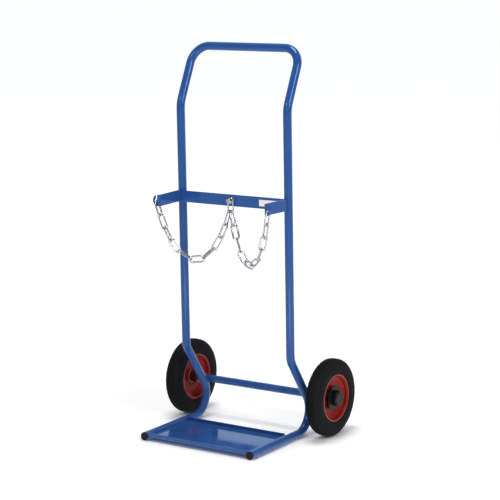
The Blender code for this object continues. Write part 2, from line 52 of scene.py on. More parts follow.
# Frame tube
TUBE_RADIUS = 0.0135
TUBE_BORE = 0.0115
TUBE_X = 0.203
TUBE_END_Y = -0.239
HEEL_Y = 0.162752
UPRIGHT_Y = -0.004189
KNEE_Z = 0.261
ELBOW_Z = 1.058
HANDLE_Y = 0.078581
HANDLE_Z = 1.2355
FOOT_BEND = 0.070
KNEE_BEND = 0.060
ELBOW_BEND = 0.095
HANDLE_BEND = 0.060
FOOT_CENTRE = Vector((0.0, 0.031101, 0.0835))

# Plugs in the tube's ends
FRONT_Y = -0.243
PLUG_FACE = 0.0037
PLUG_STEM = 0.016
PLUG_DISH = 0.0003
CORE = 0.0010

# Toe plate
PLATE_HALF = 0.1892
PLATE_SHEET = 0.003
PLATE_DEPTH = 0.218
PLATE_BEND = 0.0035
PLATE_EDGE = 0.0005
LIP_FRONT_Y = TUBE_END_Y + PLATE_SHEET / 2
LIP_REAR_Y = TUBE_END_Y + PLATE_DEPTH - PLATE_SHEET / 2

# Cross band with its ears
BAND_Z = 0.7603
BAND_HALF = 0.0185
BAND_SHEET = 0.005
BAND_Y = -0.020489
BAND_BEND = 0.0055
ARM_X = 0.207
ARM_END_X = 0.1995
EAR_X = 0.205881
EAR_Y = -0.132489
HOLE_X = 0.212881
HOLE_RADIUS = 0.0055
SLOT_HALF = 0.00365
SLOT_LEAN = math.radians(8.0)
BAND_EDGE = 0.0006
SLOT_CHAMFER = 0.0005
HOLE_CHAMFER = 0.0004
CUT_PAST = 0.0010

# Blank label on the band
LABEL_X = 0.147
LABEL_HALF_X = 0.041
LABEL_HALF_Z = 0.0102
LABEL_FILM = 0.00025
LABEL_CORNER_X = 0.002
LABEL_CORNER_Z = 0.0012

# Weld beads
BEAD_RIPPLE = 0.07
BEAD_PITCH = 0.0021
BEAD_RUN_OUT = 0.003
BEAD_END = 0.35
BEAD_LIFT = 0.0004
BEAD_STAND = 0.0006
BAND_BEAD = 0.0022
BAND_BEAD_TURN = 32.0
CROSS_BEAD = 0.0023
CROSS_BEAD_RING = 0.0082
PLATE_BEAD = 0.0019
PLATE_BEAD_LENGTH = 0.026
PLATE_BEAD_STARTS = (-0.222, -0.142, -0.062)
LIP_BEAD = 0.0017
LIP_BEAD_LOW = 0.0150
LIP_BEAD_HIGH = 0.0215
LIP_BEAD_OUT = 0.0022
HUB_BEAD = 0.0019
HUB_BEAD_RADIUS = 0.0212
HUB_BEAD_X = 0.0036

# Axle and what sits on it
AXLE_RADIUS = 0.010
AXLE_Y = 0.118
AXLE_Z = 0.125
AXLE_TUBE_RADIUS = 0.0125
AXLE_TUBE_HALF = 0.2401
WHEEL_X = 0.274
AXLE_END = 0.0275
HUB_BORE = 0.017
HUB_RADIUS = 0.020
HUB_INSIDE = 0.029
HUB_OUTSIDE = 0.020
BUSH_FLANGE = 0.002
BUSH_FLANGE_RADIUS = 0.0190
BUSH_LENGTH = 0.016
BUSH_CHAMFER = 0.0004

# Wheel
RIM_SHEET = 0.0025
GROOVE_DEPTH = 0.0022
RING_HEIGHT = 0.0005

# Middle bolt
BOLT_RADIUS = 0.005
BOLT_FLATS = 0.017
HEAD_HEIGHT = 0.0064
NUT_HEIGHT = 0.008
BOLT_PAST_NUT = 0.003
CORNER_CHAMFER = 0.0009
BORE_CHAMFER = 0.0006
THREAD_RUN_IN = 0.002
THREAD_PITCH = 0.0015
THREAD_DEPTH = 0.0008
TIP_CHAMFER = 0.0008
BOLT_WASHER = 0.002
BOLT_WASHER_RADIUS = 0.010

# Chain links
LINK_WIRE = 0.006
LINK_BEND = 0.00945
LINK_STRAIGHT = 0.0312
LINK_BULGE = 0.0004
LINK_BULGE_REACH = 0.0018
STRAND_LINKS = 10


# ---------------------------------------------------------------- mesh making

def disc_profile(radius, count):
    """Points of a round bar's profile."""
    turns = [2.0 * math.pi * index / count for index in range(count)]
    return [(radius * math.cos(turn), radius * math.sin(turn)) for turn in turns]


def bar_profile(half_a, half_b, edge, steps=3):
    """Points of a flat bar's profile with rounded edges."""
    points = []
    for quarter, (side_a, side_b) in enumerate(((1, 1), (-1, 1), (-1, -1), (1, -1))):
        for index in range(steps + 1):
            turn = math.pi / 2 * (quarter + index / steps)
            points.append((
                side_a * (half_a - edge) + edge * math.cos(turn),
                side_b * (half_b - edge) + edge * math.sin(turn),
            ))
    return points


def bent_path(corners, radii, step):
    """Points and directions along straight runs, with an arc of its radius at each corner."""
    path = [(corners[0], (corners[1] - corners[0]).normalized())]
    for before, corner, after, radius in zip(corners, corners[1:], corners[2:], radii):
        into = (corner - before).normalized()
        out = (after - corner).normalized()
        turn = into.angle(out)
        start = corner - into * radius * math.tan(turn / 2)
        centre = corner + (out - into).normalized() * radius / math.cos(turn / 2)
        count = max(1, math.ceil(turn / step))
        for index in range(count + 1):
            swing = Matrix.Rotation(turn * index / count, 3, into.cross(out))
            path.append((centre + swing @ (start - centre), swing @ into))
    path.append((corners[-1], (corners[-1] - corners[-2]).normalized()))
    return path


def bent_outline(corners, radii, step=math.radians(15.0)):
    """A flat outline of (along, radius) points with rounded corners."""
    path = bent_path([Vector((a, r, 0.0)) for a, r in corners], radii, step)
    return [(point.x, point.y) for point, _ in path]


def sweep(path, profiles, side):
    """Rings of profiles carried along a path; side is their first axis at the start."""
    rings = []
    for (point, direction), profile in zip(path, profiles):
        side = (side - direction * side.dot(direction)).normalized()
        rise = direction.cross(side)
        rings.append([point + side * a + rise * b for a, b in profile])
    return rings


def bar_rings(path, half_a, half_b, edge, side):
    """Rings of a flat bar along a path, with softened ends."""
    steps = [math.radians(turn) for turn in (75.0, 50.0, 25.0, 0.0)]
    (first, first_way), (last, last_way) = path[0], path[-1]
    starts, ends, insets = [], [], []
    for turn in steps:
        back = edge * (1.0 - math.sin(turn))
        starts.append((first + first_way * back, first_way))
        ends.append((last - last_way * back, last_way))
        insets.append(edge * (1.0 - math.cos(turn)))
    soft = [bar_profile(half_a - inset, half_b - inset, edge - inset) for inset in insets]
    plain = [bar_profile(half_a, half_b, edge)] * (len(path) - 2)
    return sweep(starts + path[1:-1] + ends[::-1], soft + plain + soft[::-1], side)


def turned(outline, count):
    """Rings of an outline of (along, radius) points turned about X."""
    return [
        [Vector((along, b, a)) for a, b in disc_profile(radius, count)]
        for along, radius in outline
    ]


def six_sided(along, flats, steps=4):
    """A hexagon about X, with points along each side."""
    ring = []
    for index in range(6 * steps):
        turn = math.pi / 3 * index / steps
        off = (turn + math.pi / 6) % (math.pi / 3) - math.pi / 6
        radius = flats / 2 / math.cos(off)
        ring.append(Vector((along, radius * math.sin(turn), radius * math.cos(turn))))
    return ring


def skin(rings, closed, sharp=math.radians(35.0)):
    """A skin over a row of rings.

    A closed row joins its last ring to its first, an open one gets end faces.
    """
    shell = bmesh.new()
    rows = [[shell.verts.new(point) for point in ring] for ring in rings]
    pairs = list(zip(rows, rows[1:]))
    if closed:
        pairs.append((rows[-1], rows[0]))
    else:
        shell.faces.new(rows[0])
        shell.faces.new(rows[-1])
    for near, far in pairs:
        for index, corner in enumerate(near):
            following = (index + 1) % len(near)
            shell.faces.new((corner, near[following], far[following], far[index]))
    bmesh.ops.recalc_face_normals(shell, faces=shell.faces)
    if shell.calc_volume(signed=True) < 0:
        bmesh.ops.reverse_faces(shell, faces=shell.faces)
    mesh = bpy.data.meshes.new("skin")
    shell.to_mesh(mesh)
    shell.free()
    smooth(mesh, sharp)
    return mesh


def smooth(mesh, sharp):
    """Smooth shading with hard edges above an angle."""
    mesh.shade_smooth()
    mesh.set_sharp_from_angle(angle=sharp)


def drill(mesh, cutters, sharp):
    """The mesh with the cutters' shapes taken out of it."""
    blank = bpy.data.objects.new("blank", mesh)
    bpy.context.scene.collection.objects.link(blank)
    tools = []
    for cutter in cutters:
        tool = bpy.data.objects.new("tool", cutter)
        bpy.context.scene.collection.objects.link(tool)
        modifier = blank.modifiers.new("cut", "BOOLEAN")
        modifier.operation = "DIFFERENCE"
        modifier.solver = "EXACT"
        modifier.object = tool
        tools.append(tool)
    graph = bpy.context.evaluated_depsgraph_get()
    done = bpy.data.meshes.new_from_object(blank.evaluated_get(graph))
    for item in [blank] + tools:
        bpy.data.objects.remove(item)
    smooth(done, sharp)
    return done


def add(name, mesh, finish, body, nodes=(), at=None):
    """A piece in its finish that rides on a body and may stand for solids."""
    if not mesh.materials:
        mesh.materials.append(finish)
    item = bpy.data.objects.new(name, mesh)
    bpy.context.scene.collection.objects.link(item)
    if at is not None:
        item.matrix_world = at
    shading = item.modifiers.new("even_shading", "WEIGHTED_NORMAL")
    shading.keep_sharp = True
    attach(item, body)
    if nodes:
        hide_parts(*nodes)


# ------------------------------------------------------------------ finishes

def node(tree, kind, inputs=None, **settings):
    """A shader node with its settings, and its inputs as plain values or links."""
    made = tree.nodes.new("ShaderNode" + kind)
    for key, value in settings.items():
        setattr(made, key, value)
    for key, value in (inputs or {}).items():
        if isinstance(value, bpy.types.NodeSocket):
            tree.links.new(value, made.inputs[key])
        else:
            made.inputs[key].default_value = value
    return made


def remap(tree, value, low, high, to_low, to_high):
    """A value carried from one range to another."""
    return node(tree, "MapRange", {
        "Value": value, "From Min": low, "From Max": high, "To Min": to_low, "To Max": to_high,
    }).outputs["Result"]


def times(tree, *values):
    """The product of values."""
    result = values[0]
    for value in values[1:]:
        result = node(tree, "Math", {0: result, 1: value}, operation="MULTIPLY").outputs[0]
    return result


def added(tree, value, share, base):
    """A base with a share of a value added to it."""
    inputs = {0: value, 1: share, 2: base}
    return node(tree, "Math", inputs, operation="MULTIPLY_ADD").outputs[0]


def mixed(tree, factor, first, second):
    """A colour between two colours."""
    return node(tree, "Mix", {0: factor, 6: first, 7: second}, data_type="RGBA").outputs[2]


def own_place(tree):
    """Place of a point in its piece's own coordinates."""
    return node(tree, "TexCoord").outputs["Object"]


def noise(tree, scale, detail):
    """Noise over a piece."""
    return node(tree, "TexNoise", {
        "Vector": own_place(tree), "Scale": scale, "Detail": detail,
    }).outputs["Fac"]


def open_group(name, inputs, outputs):
    """A node group with its named sockets."""
    tree = bpy.data.node_groups.new(name, "ShaderNodeTree")
    for label, kind, value in inputs:
        socket = tree.interface.new_socket(label, in_out="INPUT", socket_type="NodeSocket" + kind)
        socket.default_value = value
    for label, kind in outputs:
        tree.interface.new_socket(label, in_out="OUTPUT", socket_type="NodeSocket" + kind)
    given = tree.nodes.new("NodeGroupInput").outputs
    made = tree.nodes.new("NodeGroupOutput").inputs
    return tree, given, made


def sprayed_film():
    """Sprayed and baked paint: a faint mottle, uneven gloss and a low orange peel."""
    tree, given, made = open_group("sprayed_film", [
        ("Colour", "Color", (0.5, 0.5, 0.5, 1.0)),
        ("Mottle", "Float", 0.04),
        ("Gloss Low", "Float", 0.04),
        ("Gloss High", "Float", 0.09),
        ("Peel Size", "Float", 420.0),
    ], [("Colour", "Color"), ("Roughness", "Float"), ("Height", "Float")])
    cloud = noise(tree, 11.0, 3.0)
    smear = noise(tree, 46.0, 4.0)
    peel = noise(tree, given["Peel Size"], 1.0)
    shade = added(tree, remap(tree, cloud, 0.3, 0.7, -1.0, 1.0), given["Mottle"], 1.0)
    toned = node(tree, "HueSaturation", {"Value": shade, "Color": given["Colour"]})
    rough = remap(tree, smear, 0.35, 0.65, given["Gloss Low"], given["Gloss High"])
    tree.links.new(toned.outputs["Color"], made["Colour"])
    tree.links.new(rough, made["Roughness"])
    tree.links.new(peel, made["Height"])
    return tree


def settled_dust():
    """Thin dust in patches, where the place says that it lies."""
    tree, given, made = open_group("settled_dust", [
        ("Colour", "Color", (0.5, 0.5, 0.5, 1.0)),
        ("Dust", "Color", (0.30, 0.28, 0.25, 1.0)),
        ("Place", "Float", 0.0),
        ("Amount", "Float", 0.2),
    ], [("Colour", "Color"), ("Mask", "Float")])
    patch = remap(tree, noise(tree, 23.0, 5.0), 0.38, 0.68, 0.0, 1.0)
    speck = remap(tree, noise(tree, 260.0, 2.0), 0.3, 0.7, 0.4, 1.0)
    mask = times(tree, given["Place"], given["Amount"], patch, speck)
    tree.links.new(mixed(tree, mask, given["Colour"], given["Dust"]), made["Colour"])
    tree.links.new(mask, made["Mask"])
    return tree


def rubbed_edge():
    """Edges that stand out, broken up where they are less worn."""
    tree, given, made = open_group("rubbed_edge", [
        ("Amount", "Float", 0.3),
        ("Start", "Float", 0.53),
    ], [("Mask", "Float")])
    crest = node(tree, "NewGeometry").outputs["Pointiness"]
    top = node(tree, "Math", {0: given["Start"], 1: 0.10}, operation="ADD").outputs[0]
    keen = remap(tree, crest, given["Start"], top, 0.0, 1.0)
    broken = remap(tree, noise(tree, 90.0, 4.0), 0.42, 0.62, 0.0, 1.0)
    tree.links.new(times(tree, keen, broken, given["Amount"]), made["Mask"])
    return tree


def fine_grain():
    """Grain of moulded rubber and plastic or of a machined face."""
    tree, given, made = open_group("fine_grain", [
        ("Size", "Float", 900.0),
        ("Gloss Low", "Float", 0.4),
        ("Gloss High", "Float", 0.6),
    ], [("Height", "Float"), ("Roughness", "Float")])
    grain = noise(tree, given["Size"], 3.0)
    rub = noise(tree, 60.0, 4.0)
    rough = remap(tree, rub, 0.35, 0.65, given["Gloss Low"], given["Gloss High"])
    tree.links.new(grain, made["Height"])
    tree.links.new(rough, made["Roughness"])
    return tree


FILM = sprayed_film()
DUST = settled_dust()
RUBBED = rubbed_edge()
GRAIN = fine_grain()


def placed(tree, group, inputs):
    """The outputs of a node group placed with its own values."""
    return node(tree, "Group", inputs, node_tree=group).outputs


def open_finish(name, preview):
    """A material with its tree and its Principled shader."""
    finish = bpy.data.materials.new(name)
    finish.use_nodes = True
    finish.diffuse_color = preview
    tree = finish.node_tree
    return finish, tree, tree.nodes["Principled BSDF"]


def dress(tree, shader, colour, rough, height, depth):
    """Colour, roughness and a relief as deep as given in metres, linked to a shader."""
    tree.links.new(colour, shader.inputs["Base Color"])
    tree.links.new(rough, shader.inputs["Roughness"])
    relief = node(tree, "Bump", {"Height": height, "Strength": 1.0, "Distance": depth})
    tree.links.new(relief.outputs["Normal"], shader.inputs["Normal"])


def low_dust(tree):
    """1 at the height of a piece's origin, falling to 0 at knee height above it."""
    height = node(tree, "SeparateXYZ", {0: own_place(tree)}).outputs["Z"]
    return remap(tree, height, 0.30, 0.0, 0.0, 1.0)


def wheel_radius_of(tree):
    """Distance of a point of a wheel from its axle."""
    inputs = {0: own_place(tree), 1: (0.0, 1.0, 1.0)}
    flat = node(tree, "VectorMath", inputs, operation="MULTIPLY").outputs[0]
    return node(tree, "VectorMath", {0: flat}, operation="LENGTH").outputs["Value"]


def dish_dust(tree):
    """Dust that lies thicker towards the outside of a dish."""
    return remap(tree, wheel_radius_of(tree), 0.03, 0.07, 0.2, 1.0)


def lip_highlight(tree):
    """A painted highlight on the rolled lip of a dish, as paler paint there."""
    return remap(tree, wheel_radius_of(tree), 0.0728, 0.0750, 0.0, 0.75)


def darker_near_hub(tree):
    """Darker paint over the part of a dish nearest its hub, reaching out unevenly."""
    reach = remap(tree, noise(tree, 60.0, 4.0), 0.3, 0.7, 0.032, 0.062)
    return remap(tree, wheel_radius_of(tree), 0.020, reach, 0.85, 0.0)


def paint(name, colour, thin_and_highlight, shine, tint, dust_of, highlight_of=None, darkened_of=None):
    """Glossy sprayed paint, thinner on its edges, with a painted highlight and a darker patch where
    masks are given, and a little dust.
    """
    finish, tree, shader = open_finish(name, colour)
    shader.inputs["Specular IOR Level"].default_value = shine
    shader.inputs["Specular Tint"].default_value = tint
    film = placed(tree, FILM, {"Colour": colour})
    edge = placed(tree, RUBBED, {"Amount": 0.25})["Mask"]
    toned = mixed(tree, edge, film["Colour"], thin_and_highlight)
    # Paler paint as a painted highlight where a mask is given, such as on a dish's lip
    if highlight_of:
        toned = mixed(tree, highlight_of(tree), toned, thin_and_highlight)
    # Darker paint towards the hub where a mask is given
    if darkened_of:
        toned = mixed(tree, darkened_of(tree), toned, HUB_DARK)
    dust = placed(tree, DUST, {"Colour": toned, "Place": dust_of(tree), "Amount": 0.06})
    rough = added(tree, dust["Mask"], 0.5, film["Roughness"])
    dress(tree, shader, dust["Colour"], rough, film["Height"], 0.000012)
    return finish


BLUE = (0.0215, 0.084, 0.298, 1.0)
BLUE_THIN = (0.058, 0.162, 0.420, 1.0)
BLUE_SHEEN = (0.60, 0.82, 1.0, 1.0)
RED = (0.30, 0.015, 0.009, 1.0)
# The pale red serves for edges worn thin and for the painted highlight on the dishes' lips
RED_THIN_AND_HIGHLIGHT = (0.55, 0.210, 0.190, 1.0)
RED_SHEEN = (1.0, 0.85, 0.83, 1.0)
# Dark red-brown for the darker paint near the hubs
HUB_DARK = (0.035, 0.008, 0.006, 1.0)


def make_rubber():
    """Black tyre rubber with a dusty tread and grooves."""
    black = (0.0125, 0.0127, 0.0147, 1.0)
    finish, tree, shader = open_finish("tyre_rubber", black)
    shader.inputs["Specular IOR Level"].default_value = 0.03
    grain = placed(tree, GRAIN, {"Size": 700.0, "Gloss Low": 0.50, "Gloss High": 0.64})
    tread = remap(tree, wheel_radius_of(tree), 0.108, 0.123, 0.15, 1.0)
    dust = placed(tree, DUST, {
        "Colour": black, "Place": tread, "Amount": 0.04, "Dust": (0.10, 0.095, 0.09, 1.0),
    })
    rough = added(tree, dust["Mask"], 0.6, grain["Roughness"])
    dress(tree, shader, dust["Colour"], rough, grain["Height"], 0.00006)
    return finish


def make_plastic():
    """Black moulded plastic with a fine grain."""
    black = (0.0045, 0.0042, 0.0056, 1.0)
    finish, tree, shader = open_finish("black_plastic", black)
    shader.inputs["Specular IOR Level"].default_value = 0.18
    grain = placed(tree, GRAIN, {"Size": 1400.0, "Gloss Low": 0.26, "Gloss High": 0.40})
    edge = placed(tree, RUBBED, {"Amount": 0.35})["Mask"]
    toned = mixed(tree, edge, black, (0.04, 0.04, 0.04, 1.0))
    dust = placed(tree, DUST, {"Colour": toned, "Place": 1.0, "Amount": 0.01})
    dress(tree, shader, dust["Colour"], grain["Roughness"], grain["Height"], 0.00003)
    return finish


def make_zinc():
    """Bright zinc plating with a faint tint, duller in patches."""
    bright = (0.52, 0.53, 0.55, 1.0)
    finish, tree, shader = open_finish("zinc_plate", bright)
    shader.inputs["Metallic"].default_value = 1.0
    grain = placed(tree, GRAIN, {"Size": 1100.0, "Gloss Low": 0.10, "Gloss High": 0.24})
    bloom = remap(tree, noise(tree, 70.0, 4.0), 0.35, 0.65, 0.0, 1.0)
    toned = mixed(tree, bloom, bright, (0.42, 0.43, 0.45, 1.0))
    edge = placed(tree, RUBBED, {"Amount": 0.5})["Mask"]
    rubbed_and_shaded = mixed(tree, edge, toned, (0.80, 0.80, 0.80, 1.0))
    dress(tree, shader, rubbed_and_shaded, grain["Roughness"], grain["Height"], 0.00002)
    return finish


def make_link_zinc():
    """Zinc plating of a link: its sides are painted dark as shade and its two faces stay bright as
    a painted highlight.
    """
    bright = (0.64, 0.65, 0.67, 1.0)
    finish, tree, shader = open_finish("link_zinc", bright)
    shader.inputs["Metallic"].default_value = 1.0
    depth = node(tree, "SeparateXYZ", {0: own_place(tree)}).outputs["Z"]
    stand = node(tree, "Math", {0: depth}, operation="ABSOLUTE").outputs[0]
    grain = placed(tree, GRAIN, {"Size": 1100.0, "Gloss Low": 0.12, "Gloss High": 0.26})
    bloom = remap(tree, noise(tree, 70.0, 4.0), 0.35, 0.65, 0.0, 1.0)
    # The wire's sides, near the link's own plane, are painted dark as shade, and its faces keep the
    # bright zinc as a painted highlight
    painted_side_shade = mixed(tree, bloom, (0.20, 0.20, 0.21, 1.0), (0.32, 0.32, 0.33, 1.0))
    rubbed_and_shaded = mixed(tree, remap(tree, stand, 0.0006, 0.0023, 0.0, 1.0), painted_side_shade, bright)
    dress(tree, shader, rubbed_and_shaded, grain["Roughness"], grain["Height"], 0.00002)
    return finish


def plain_finish(name, colour, grain, dust, depth, metallic=0.0):
    """A finish of one colour with its own grain and dust."""
    finish, tree, shader = open_finish(name, colour)
    shader.inputs["Metallic"].default_value = metallic
    grained = placed(tree, GRAIN, grain)
    dusty = placed(tree, DUST, {"Colour": colour, "Place": 1.0, **dust})
    dress(tree, shader, dusty["Colour"], grained["Roughness"], grained["Height"], depth)
    return finish


blue_paint = paint("blue_paint", BLUE, BLUE_THIN, 0.45, BLUE_SHEEN, low_dust)
# The red paint carries a painted highlight on the dishes' lips and is darker near the hubs
red_paint = paint("red_paint", RED, RED_THIN_AND_HIGHLIGHT, 0.07, RED_SHEEN, dish_dust, lip_highlight, darker_near_hub)
rubber = make_rubber()
black_plastic = make_plastic()
zinc = make_zinc()
link_zinc = make_link_zinc()
steel = plain_finish(
    "dull_steel", (0.17, 0.16, 0.16, 1.0), {"Size": 900.0, "Gloss Low": 0.34, "Gloss High": 0.50},
    {"Amount": 0.4, "Dust": (0.07, 0.06, 0.055, 1.0)}, 0.00003, metallic=1.0,
)
bronze = plain_finish(
    "bush_metal", (0.15, 0.105, 0.06, 1.0), {"Size": 800.0, "Gloss Low": 0.35, "Gloss High": 0.50},
    {"Amount": 0.5, "Dust": (0.06, 0.045, 0.03, 1.0)}, 0.00003, metallic=1.0,
)
white_film = plain_finish(
    "white_film", (0.92, 0.92, 0.92, 1.0), {"Size": 500.0, "Gloss Low": 0.22, "Gloss High": 0.34},
    {"Amount": 0.04}, 0.00001,
)


# --------------------------------------------------------------------- frame

def weld(name, points, radius, finish=blue_paint, body="frame", ring=False):
    """A weld bead along points, with the ripple of its passes and run-out ends."""
    reach = [0.0]
    for near, far in zip(points, points[1:]):
        reach.append(reach[-1] + (far - near).length)
    path, profiles = [], []
    for index, point in enumerate(points):
        near = points[index - 1] if index or ring else point
        far = points[(index + 1) % len(points)] if index + 1 < len(points) or ring else point
        ripple = 1.0 + BEAD_RIPPLE * math.sin(2.0 * math.pi * reach[index] / BEAD_PITCH)
        run_out = 1.0
        if not ring:
            from_end = min(reach[index], reach[-1] - reach[index])
            run_out = min(1.0, BEAD_END + from_end / BEAD_RUN_OUT)
        path.append((point, (far - near).normalized()))
        profiles.append(disc_profile(radius * ripple * run_out, 12))
    side = path[0][1].orthogonal().normalized()
    bead = skin(sweep(path, profiles, side), closed=ring, sharp=math.pi)
    add(name, bead, finish, body)


def spaced(start, end, step=0.0005):
    """Points along a straight line."""
    count = max(2, round((end - start).length / step))
    return [start.lerp(end, index / count) for index in range(count + 1)]


def build_tube():
    """The bent frame tube and the plugs in its ends."""
    half = [
        Vector((-TUBE_X, TUBE_END_Y, TUBE_RADIUS)),
        Vector((-TUBE_X, HEEL_Y, TUBE_RADIUS)),
        Vector((-TUBE_X, UPRIGHT_Y, KNEE_Z)),
        Vector((-TUBE_X, UPRIGHT_Y, ELBOW_Z)),
        Vector((-TUBE_X, HANDLE_Y, HANDLE_Z)),
    ]
    corners = half + [Vector((-p.x, p.y, p.z)) for p in reversed(half)]
    bends = [FOOT_BEND, KNEE_BEND, ELBOW_BEND, HANDLE_BEND]
    path = bent_path(corners, bends + bends[::-1], math.radians(4.0))
    outside = sweep(path, [disc_profile(TUBE_RADIUS, 40)] * len(path), -Z_AXIS)
    inside = sweep(path, [disc_profile(TUBE_BORE, 40)] * len(path), -Z_AXIS)
    tube = skin(outside + inside[::-1], closed=True)
    add("bent_tube", tube, blue_paint, "frame", ["frame_tube"])

    stem = TUBE_BORE - GAP
    outline = bent_outline([
        (PLUG_DISH, CORE), (0.0, TUBE_RADIUS), (PLUG_FACE, TUBE_RADIUS), (PLUG_FACE, stem),
        (PLUG_FACE + PLUG_STEM, stem), (PLUG_FACE + PLUG_STEM, CORE),
    ], [0.0016, 0.0003, 0.0002, 0.0012])
    plug = skin(turned(outline, 40), closed=False)
    for side, name in SIDES:
        seat = Matrix.Translation((side * TUBE_X, FRONT_Y, TUBE_RADIUS))
        seat = seat @ Matrix.Rotation(math.pi / 2, 4, "Z")
        add("tube_plug_" + name, plug, black_plastic, "frame",
            ["foot_cap_" + name], seat)


def build_plate():
    """The toe plate, with its front and rear edges turned up to the top of the feet."""
    fold = bent_path([
        Vector((0.0, LIP_FRONT_Y, 2 * TUBE_RADIUS)),
        Vector((0.0, LIP_FRONT_Y, TUBE_RADIUS)),
        Vector((0.0, LIP_REAR_Y, TUBE_RADIUS)),
        Vector((0.0, LIP_REAR_Y, 2 * TUBE_RADIUS)),
    ], [PLATE_BEND, PLATE_BEND], math.radians(7.5))
    rings = bar_rings(fold, PLATE_HALF, PLATE_SHEET / 2, PLATE_EDGE, X_AXIS)
    sheet = skin(rings, closed=False, sharp=math.radians(15.0))
    add("folded_plate", sheet, blue_paint, "frame", ["toe_plate"])


def keyhole(radius, slot_half):
    """Outline of an ear's hole with its slot to the top edge."""
    neck = math.asin(slot_half / radius)
    outline = [(slot_half, 2 * BAND_HALF), (-slot_half, 2 * BAND_HALF)]
    count = 32
    for index in range(count + 1):
        turn = math.pi / 2 + neck + (2 * math.pi - 2 * neck) * index / count
        outline.append((radius * math.cos(turn), radius * math.sin(turn)))
    return outline


def through_cut(middle_x, middle_y, outlines, lean):
    """A cutter through the band along Y, wider at both faces for a small chamfer there."""
    plain, wide = ([Matrix.Rotation(lean, 2) @ Vector(p) for p in outline] for outline in outlines)
    flush = BAND_SHEET / 2
    rings = []
    for depth, outline in (
        (-flush - CUT_PAST, wide), (-flush, wide), (-flush + SLOT_CHAMFER, plain),
        (flush - SLOT_CHAMFER, plain), (flush, wide), (flush + CUT_PAST, wide),
    ):
        rings.append([Vector((middle_x + p.x, middle_y + depth, BAND_Z + p.y)) for p in outline])
    return skin(rings, closed=False)


def build_band():
    """The flat bar across the uprights, bent to arms and ears with keyholes."""
    bar = bent_path([
        Vector((-EAR_X, EAR_Y, BAND_Z)),
        Vector((-ARM_END_X, EAR_Y, BAND_Z)),
        Vector((-ARM_X, BAND_Y, BAND_Z)),
        Vector((ARM_X, BAND_Y, BAND_Z)),
        Vector((ARM_END_X, EAR_Y, BAND_Z)),
        Vector((EAR_X, EAR_Y, BAND_Z)),
    ], [BAND_BEND] * 4, math.radians(6.0))
    profiles = [bar_profile(BAND_HALF, BAND_SHEET / 2, BAND_EDGE)] * len(bar)
    # The ears' round ends, stopped just short of the tip so that no profile shrinks to a line
    for index in range(1, 20):
        turn = math.pi / 2 * index / 20.5
        reach = BAND_HALF * math.sin(turn)
        half = BAND_HALF * math.cos(turn)
        profile = bar_profile(half, BAND_SHEET / 2, min(BAND_EDGE, half * 0.6))
        bar.insert(0, (Vector((-EAR_X - reach, EAR_Y, BAND_Z)), X_AXIS))
        bar.append((Vector((EAR_X + reach, EAR_Y, BAND_Z)), X_AXIS))
        profiles = [profile] + profiles + [profile]
    blank = skin(sweep(bar, profiles, Z_AXIS), closed=False)
    outlines = (
        keyhole(HOLE_RADIUS, SLOT_HALF),
        keyhole(HOLE_RADIUS + SLOT_CHAMFER, SLOT_HALF + SLOT_CHAMFER),
    )
    cutters = [through_cut(side * HOLE_X, EAR_Y, outlines, side * SLOT_LEAN) for side, _ in SIDES]
    bolt_hole = BOLT_RADIUS + GAP
    outlines = (disc_profile(bolt_hole, 24), disc_profile(bolt_hole + HOLE_CHAMFER, 24))
    cutters.append(through_cut(0.0, BAND_Y, outlines, 0.0))
    band = drill(blank, cutters, math.radians(15.0))
    add("chain_band", band, blue_paint, "frame", ["cross_band"])

    middle = Vector((LABEL_X, BAND_Y - BAND_SHEET / 2 - LABEL_FILM / 2, BAND_Z))
    inner = LABEL_HALF_X - LABEL_CORNER_X
    low = LABEL_HALF_Z - LABEL_CORNER_Z
    run, profiles = [], []
    for x, half in (
        (-LABEL_HALF_X, low), (-inner, LABEL_HALF_Z), (inner, LABEL_HALF_Z), (LABEL_HALF_X, low),
    ):
        run.append((middle + X_AXIS * x, X_AXIS))
        profiles.append(bar_profile(half, LABEL_FILM / 2, LABEL_FILM * 0.3))
    label = skin(sweep(run, profiles, Z_AXIS), closed=False, sharp=math.radians(15.0))
    add("blank_label", label, white_film, "frame")


